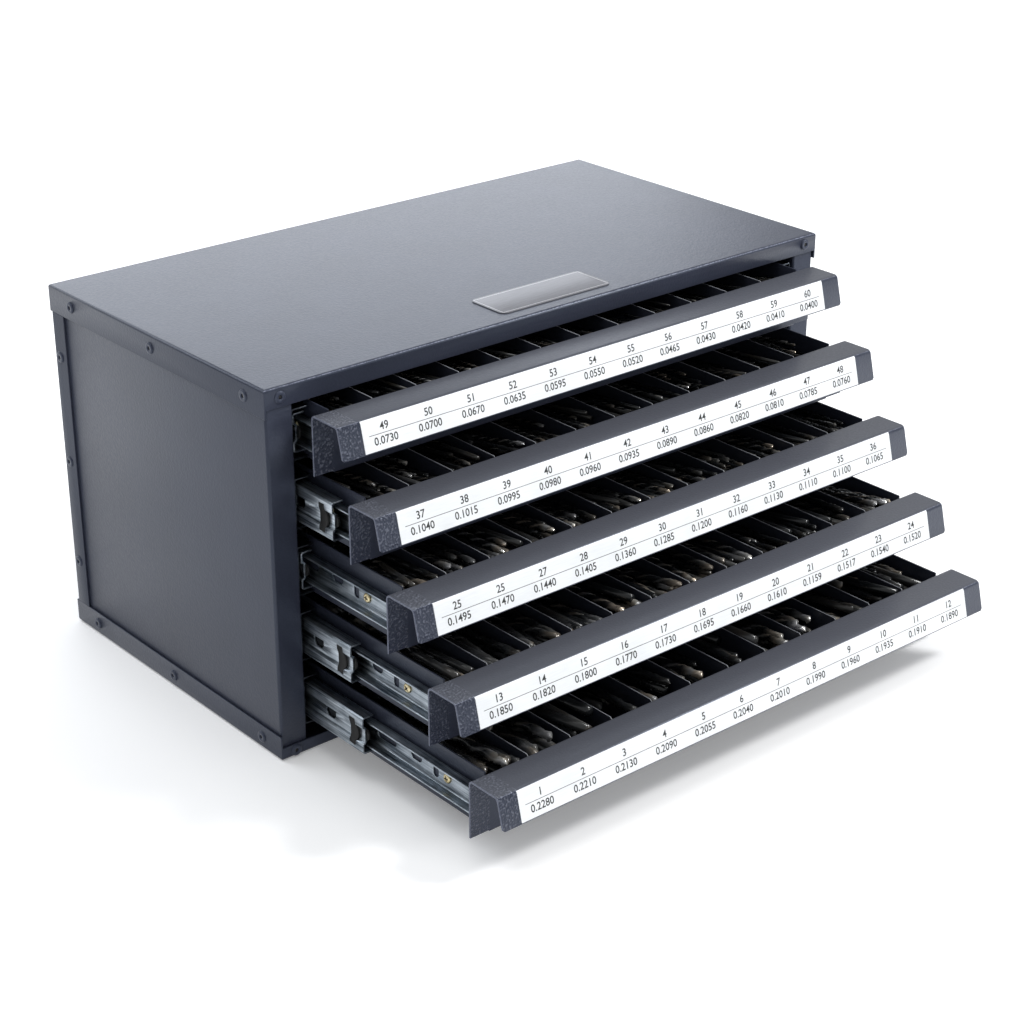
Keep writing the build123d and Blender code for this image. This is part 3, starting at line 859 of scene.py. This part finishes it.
def drill_shape(diameter, length, fluted):
    """Corners, faces and wear of a twist drill along local Y, its point at the origin."""
    around = 8 if diameter < fine_drill else 10
    pitch = flute_pitch * diameter
    steps = max(least_steps, round(fluted / pitch * steps_per_turn))
    radius = diameter / 2
    point = radius * point_share
    # Each station is how far along it is, its size in radii, less than 0 where it is round,
    # and how far along the twist has got.
    stations = [(0.0, tip_share, 0.0)]
    for step in range(steps + 1):
        along = point + (fluted - point) * step / steps
        stations.append((along, 1.0, along))
    stations.append((fluted + diameter * run_out, -1.0, fluted))
    stations.append((length, -1.0, fluted))
    stations.append((length, -tip_share, fluted))
    corners, faces, wear = [], [], []
    for along, share, twisted in stations:
        turn = 2 * math.pi * twisted / pitch
        for index in range(around):
            angle = 2 * math.pi * index / around
            land = abs(math.cos(angle))
            fluting = 1.0 if share < 0 else core_share + (1 - core_share) * land ** flute_curve
            reach = radius * abs(share) * fluting
            corners.append(
                Vector((reach * math.cos(angle + turn), along, reach * math.sin(angle + turn)))
            )
            near_point = max(0.0, 1 - along / (worn_length * diameter))
            flute_wear = min(1.0, near_point + (land_wear if land > land_start else 0.0))
            wear.append(shank_wear if share < 0 else flute_wear)
    for station in range(len(stations) - 1):
        for index in range(around):
            after = (index + 1) % around
            base = station * around
            faces.append(
                (base + index, base + after, base + around + after, base + around + index)
            )
    return corners, faces, wear


def drill_place(length, x, front_y, floor, rise, lean):
    """How a drill of a heap lies, from its middle's X, its front's Y, the height it rests at
    on the floor, how far up the heap it is, and its room to swing sideways."""
    front = heap_height * rise * seed.uniform(front_spread, 1.0)
    back = heap_back_height * rise * seed.uniform(back_spread, 1.0)
    tilt = math.asin(max(-steepest, min(steepest, (back - front) / length)))
    reach = length / 2
    yaw = seed.uniform(-1, 1) * min(widest_yaw, lean / reach)
    spot = Vector((x, front_y + reach, floor + (front + back) / 2))
    place = Matrix.Translation(spot) @ Matrix.Rotation(yaw, 4, "Z")
    place = place @ Matrix.Rotation(tilt, 4, "X")
    if seed.random() > 1 - turned_share:
        place = place @ Matrix.Rotation(math.pi, 4, "Z")
    place = place @ Matrix.Rotation(seed.uniform(0, any_spin), 4, "Y")
    return place @ Matrix.Translation((0, -reach, 0))


def drills_mesh(number):
    """A drawer's drills, heaped in layers, one size to a compartment."""
    tray_low, tray_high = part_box(f"drawer_{number}_tray")
    tray_width = tray_high.x - tray_low.x
    pitch = (tray_width - 2 * tray_sheet + divider_sheet) / compartments
    width = pitch - divider_sheet - 2 * side_room
    vertices, faces, wear = [], [], []
    for index, size in enumerate(label_sizes[number].split()):
        diameter = float(size) * inch
        length = least_length + length_growth * diameter
        fluted = length * (fluted_share + fluted_growth * diameter / mm)
        shape, shape_faces, shape_wear = drill_shape(diameter, length, fluted)
        left = tray_low.x + tray_sheet + index * pitch + side_room
        floor = tray_low.z + tray_sheet + diameter * resting_height
        fitting = int(width / (diameter * drill_room))
        per_layer = max(fewest_across, min(most_across, fitting))
        layers = max(fewest_layers, min(most_layers, round(heap_height / diameter)))
        heaps = int(compartment_depth / (length + heap_gap))
        heap_pitch = compartment_depth / heaps
        spare = heap_pitch - length - 2 * end_room
        room = width - diameter
        for drill in range(heaps * layers * per_layer):
            heap, within = divmod(drill, layers * per_layer)
            layer, slot = divmod(within, per_layer)
            rise = (layer / (layers - 1)) ** 0.5
            share = (slot + slot_margin + (1 - 2 * slot_margin) * seed.random()) / per_layer
            x = left + diameter / 2 + room * share
            front_y = tray_low.y + heap * heap_pitch + end_room + spare * seed.random() ** 2
            lean = room / 2 - abs(x - left - width / 2)
            place = drill_place(length, x, front_y, floor, rise, lean)
            first = len(vertices)
            vertices += [place @ corner for corner in shape]
            faces += [tuple(first + corner for corner in face) for face in shape_faces]
            use = seed.random() ** wear_power
            wear += [use * worn for worn in shape_wear]
    mesh = bpy.data.meshes.new(f"drawer_{number}_drills")
    mesh.from_pydata([tuple(v) for v in vertices], [], faces)
    mesh.attributes.new("worn", "FLOAT", "POINT").data.foreach_set("value", wear)
    mesh.shade_smooth()
    return mesh


drill_steel = black_oxide()
for number in drawer_numbers:
    body = f"drawer_{number}"
    piece(f"{body}_drills", drills_mesh(number), drill_steel, body)


# ---------------------------------------------------------------- floor and light
floor_reach = 6.0
floor_drop = 0.2 * mm           # below the case, so that the two don't flicker
studio_tint = (0.96, 0.98, 1.0, 1.0)
studio_level = 0.5
cool = (0.90, 0.94, 1.0)


def pale_floor():
    """Near white, and a little luminous so that shadows on it stay light."""
    pale = Finish("pale_floor")
    cloud = pale.noise(pale.place(), 0.5)
    pale.set(
        Base_Color=pale.ramp(cloud, (0.3, (0.93, 0.93, 0.93, 1.0)), (0.7, (0.95, 0.95, 0.95, 1.0))),
        Roughness=0.7,
        Emission_Color=white,
        Emission_Strength=0.18,
    )
    return pale


floor_mesh = bmesh.new()
bmesh.ops.create_grid(floor_mesh, x_segments=2, y_segments=2, size=floor_reach)
floor = bpy.data.objects.new("floor", finished_mesh("floor", floor_mesh))
bpy.context.scene.collection.objects.link(floor)
floor.location.z = -floor_drop
floor.data.materials.append(pale_floor().material)

world = bpy.data.worlds.new("studio")
bpy.context.scene.world = world
world.use_nodes = True
background = world.node_tree.nodes["Background"].inputs
background["Color"].default_value = studio_tint
background["Strength"].default_value = studio_level


def softbox(name, place, aim, size, power, colour=(1.0, 1.0, 1.0)):
    """A rectangular lamp of a width and height in metres and a power in watts."""
    light = bpy.data.lights.new(name, "AREA")
    light.shape = "RECTANGLE"
    light.size, light.size_y = size
    light.energy = power
    light.color = colour
    holder = bpy.data.objects.new(name, light)
    bpy.context.scene.collection.objects.link(holder)
    way = Vector(aim) - Vector(place)
    turn = way.to_track_quat("-Z", "Y").to_matrix().to_4x4()
    holder.matrix_world = Matrix.Translation(place) @ turn


softbox("back_wall", (0.8, 2.3, 0.95), (0.1, 0, 0.2), (2.9, 1.5), 32, cool)
softbox("back_left_box", (-0.9, 1.6, 1.5), (0, 0, 0.15), (1.0, 0.8), 12, cool)
softbox("key_box", (1.1, -1.0, 1.5), (0, 0, 0.05), (0.4, 0.4), 24)
softbox("front_box", (1.1, -1.7, 0.7), (0, 0, 0.1), (0.5, 0.4), 7)
softbox("top_box", (-0.3, -0.1, 2.2), (0, 0, 0.1), (1.2, 1.2), 14)
